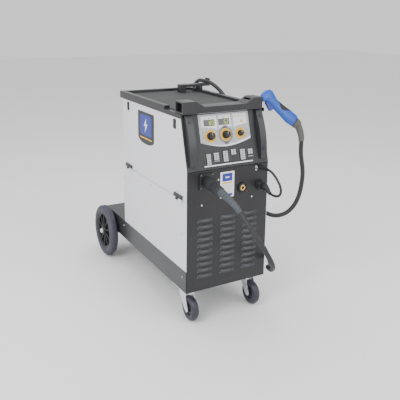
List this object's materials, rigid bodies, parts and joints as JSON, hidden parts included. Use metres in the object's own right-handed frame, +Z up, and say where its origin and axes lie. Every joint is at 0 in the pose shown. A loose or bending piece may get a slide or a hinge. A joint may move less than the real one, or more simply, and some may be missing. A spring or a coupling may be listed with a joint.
{
  "type": "mig welder on cart",
  "caption": "Wheeled cabinet MIG welder with a sloped control panel, a drop-down side door, a hand torch on a cable, swivel casters and a gas bottle platform.",
  "frame": {"origin": "on the floor, at the middle of the footprint of the machine and its torch, with its loose cables and their plugs left out", "axes": "+Z up, +Y towards the rear wheels, +X to the right as seen from the front"},
  "size_m": [0.6614, 1.3612, 0.9808],
  "materials": {
    "white_powder_coat": "satin powder coat, very light grey",
    "black_powder_coat": "satin black powder coat",
    "black_moulded_plastic": "fine textured black plastic",
    "charcoal_moulded_plastic": "charcoal moulded plastic",
    "black_rubber": "matt black rubber",
    "tyre_rubber": "dark grey rubber tyre on a black plastic rim",
    "zinc_plated_steel": "bright zinc plate",
    "brass": "machined brass",
    "silver_front_film": "printed silver film on a carrier plate",
    "blue_moulded_plastic": "satin blue plastic",
    "enamelled_copper": "varnished copper winding, brass standing in for copper",
    "laminated_steel": "stacked steel laminations",
    "green_board": "green circuit board",
    "aluminium": "bare aluminium",
    "white_button_plastic": "white plastic",
    "gold_button_plastic": "gold-coloured plastic"
  },
  "bodies": {
    "root": {"left_lower_panel": "white_powder_coat", "right_side_panel": "white_powder_coat", "divider_panel": "white_powder_coat", "base_chassis": "black_powder_coat", "lower_front_panel": "black_powder_coat", "rear_panel": "black_powder_coat", "top_tray": "black_powder_coat", "cable_hook": "black_powder_coat", "torch_holder": "black_moulded_plastic", "euro_socket": "black_moulded_plastic", "dinse_socket_free": "black_moulded_plastic", "dinse_socket_used": "black_moulded_plastic", "dinse_plug": "black_moulded_plastic", "euro_plug": "black_moulded_plastic", "spool_spindle": "black_moulded_plastic", "feed_motor": "black_moulded_plastic", "upper_front_panel": "charcoal_moulded_plastic", "grip_left": "charcoal_moulded_plastic", "grip_right": "charcoal_moulded_plastic", "torch_relief": "charcoal_moulded_plastic", "tray_mat": "black_rubber", "polarity_gland": "black_rubber", "torch_cable": "black_rubber", "polarity_cable": "black_rubber", "caster_plate_left": "zinc_plated_steel", "caster_plate_right": "zinc_plated_steel", "rear_axle": "zinc_plated_steel", "torch_neck": "brass", "gas_valve": "brass", "control_overlay": "silver_front_film", "torch_handle": "blue_moulded_plastic", "transformer_winding": "enamelled_copper", "transformer_core": "laminated_steel", "control_board": "green_board", "feed_gearbox": "aluminium", "rectifier_heatsink": "aluminium"},
    "caster_swivel_left": {"caster_fork_left": "zinc_plated_steel"},
    "caster_swivel_right": {"caster_fork_right": "zinc_plated_steel"},
    "caster_roller_left": {"caster_wheel_left": "black_rubber"},
    "caster_roller_right": {"caster_wheel_right": "black_rubber"},
    "wheel_left": {"rear_wheel_left": "tyre_rubber"},
    "wheel_right": {"rear_wheel_right": "tyre_rubber"},
    "door": {"left_door": "white_powder_coat", "door_hinge_front": "black_moulded_plastic", "door_hinge_rear": "black_moulded_plastic"},
    "latch_front": {"latch_slide_front": "black_moulded_plastic"},
    "latch_rear": {"latch_slide_rear": "black_moulded_plastic"},
    "wire_speed_control": {"wire_speed_knob": "black_moulded_plastic"},
    "voltage_control": {"voltage_knob": "black_moulded_plastic"},
    "trim_control": {"trim_knob": "black_moulded_plastic"},
    "mode_key": {"mode_button": "white_button_plastic"},
    "test_key": {"test_button": "gold_button_plastic"},
    "trigger": {"torch_trigger": "blue_moulded_plastic"},
    "mains_switch": {"main_switch": "black_moulded_plastic"},
    "spool": {"wire_spool": "black_moulded_plastic"},
    "drive": {"drive_roller": "zinc_plated_steel"},
    "arm": {"pressure_arm": "black_moulded_plastic"},
    "press": {"pressure_roller": "zinc_plated_steel"},
    "tension": {"tension_knob": "blue_moulded_plastic"},
    "fan": {"fan_rotor": "black_moulded_plastic"}
  },
  "joints": [
    {"name": "caster_swivel_turn_left", "type": "hinge", "parent": "root", "child": "caster_swivel_left", "pos_m": [-0.20695, -0.402, 0.13], "axis": [0, 0, 1], "continuous": true},
    {"name": "caster_wheel_turn_left", "type": "hinge", "parent": "caster_swivel_left", "child": "caster_roller_left", "pos_m": [-0.20695, -0.44, 0.055], "axis": [1, 0, 0], "continuous": true},
    {"name": "caster_swivel_turn_right", "type": "hinge", "parent": "root", "child": "caster_swivel_right", "pos_m": [0.10705, -0.402, 0.13], "axis": [0, 0, 1], "continuous": true},
    {"name": "caster_wheel_turn_right", "type": "hinge", "parent": "caster_swivel_right", "child": "caster_roller_right", "pos_m": [0.10705, -0.44, 0.055], "axis": [1, 0, 0], "continuous": true},
    {"name": "rear_wheel_turn_left", "type": "hinge", "parent": "root", "child": "wheel_left", "pos_m": [-0.28595, 0.387, 0.136], "axis": [1, 0, 0], "continuous": true},
    {"name": "rear_wheel_turn_right", "type": "hinge", "parent": "root", "child": "wheel_right", "pos_m": [0.18605, 0.387, 0.136], "axis": [1, 0, 0], "continuous": true},
    {"name": "door_drop", "type": "hinge", "parent": "root", "child": "door", "pos_m": [-0.25645, -0.139, 0.5475], "axis": [0, -1, 0], "range_deg": [0, 170]},
    {"name": "latch_slide_front_move", "type": "slide", "parent": "door", "child": "latch_front", "axis": [0, 0, -1], "range_m": [0, 0.006], "stiffness_N_per_m": 400, "springref_m": -0.002},
    {"name": "latch_slide_rear_move", "type": "slide", "parent": "door", "child": "latch_rear", "axis": [0, 0, -1], "range_m": [0, 0.006], "stiffness_N_per_m": 400, "springref_m": -0.002},
    {"name": "wire_speed_turn", "type": "hinge", "parent": "root", "child": "wire_speed_control", "pos_m": [-0.12245, -0.44227, 0.80538], "axis": [0, -0.9653, 0.2611], "range_deg": [-135, 135]},
    {"name": "voltage_turn", "type": "hinge", "parent": "root", "child": "voltage_control", "pos_m": [-0.04945, -0.44214, 0.80587], "axis": [0, -0.9653, 0.2611], "range_deg": [-135, 135]},
    {"name": "trim_turn", "type": "hinge", "parent": "root", "child": "trim_control", "pos_m": [0.02225, -0.44206, 0.80616], "axis": [0, -0.9653, 0.2611], "range_deg": [-135, 135]},
    {"name": "mode_press", "type": "slide", "parent": "root", "child": "mode_key", "axis": [0, 0.9653, -0.2611], "range_m": [0, 0.0015], "stiffness_N_per_m": 500},
    {"name": "test_press", "type": "slide", "parent": "root", "child": "test_key", "axis": [0, 0.9653, -0.2611], "range_m": [0, 0.0015], "stiffness_N_per_m": 500},
    {"name": "trigger_pull", "type": "hinge", "parent": "root", "child": "trigger", "pos_m": [0.17055, -0.41764, 0.92576], "axis": [0, -0.9397, 0.342], "range_deg": [0, 6], "stiffness_Nm_per_rad": 0.6, "springref_deg": -2.86},
    {"name": "mains_switch_turn", "type": "hinge", "parent": "root", "child": "mains_switch", "pos_m": [-0.15995, 0.199, 0.8], "axis": [0, 1, 0], "range_deg": [0, 90]},
    {"name": "spool_turn", "type": "hinge", "parent": "root", "child": "spool", "pos_m": [-0.16195, -0.007, 0.7], "axis": [1, 0, 0], "continuous": true},
    {"name": "drive_roller_turn", "type": "hinge", "parent": "root", "child": "drive", "pos_m": [-0.15995, -0.287, 0.6086], "axis": [1, 0, 0], "continuous": true},
    {"name": "pressure_arm_lift", "type": "hinge", "parent": "root", "child": "arm", "pos_m": [-0.1482, -0.232, 0.652], "axis": [-1, 0, 0], "range_deg": [0, 60]},
    {"name": "pressure_roller_turn", "type": "hinge", "parent": "arm", "child": "press", "pos_m": [-0.15995, -0.287, 0.6444], "axis": [1, 0, 0], "continuous": true},
    {"name": "tension_knob_turn", "type": "hinge", "parent": "arm", "child": "tension", "pos_m": [-0.1482, -0.329, 0.68], "axis": [0, 0, 1], "continuous": true},
    {"name": "fan_turn", "type": "hinge", "parent": "root", "child": "fan", "pos_m": [0.03005, 0.145, 0.4], "axis": [0, 1, 0], "continuous": true}
  ],
  "couplings": [
    {"joint": "pressure_roller_turn", "follows": "drive_roller_turn", "ratio": -1.3333}
  ]
}
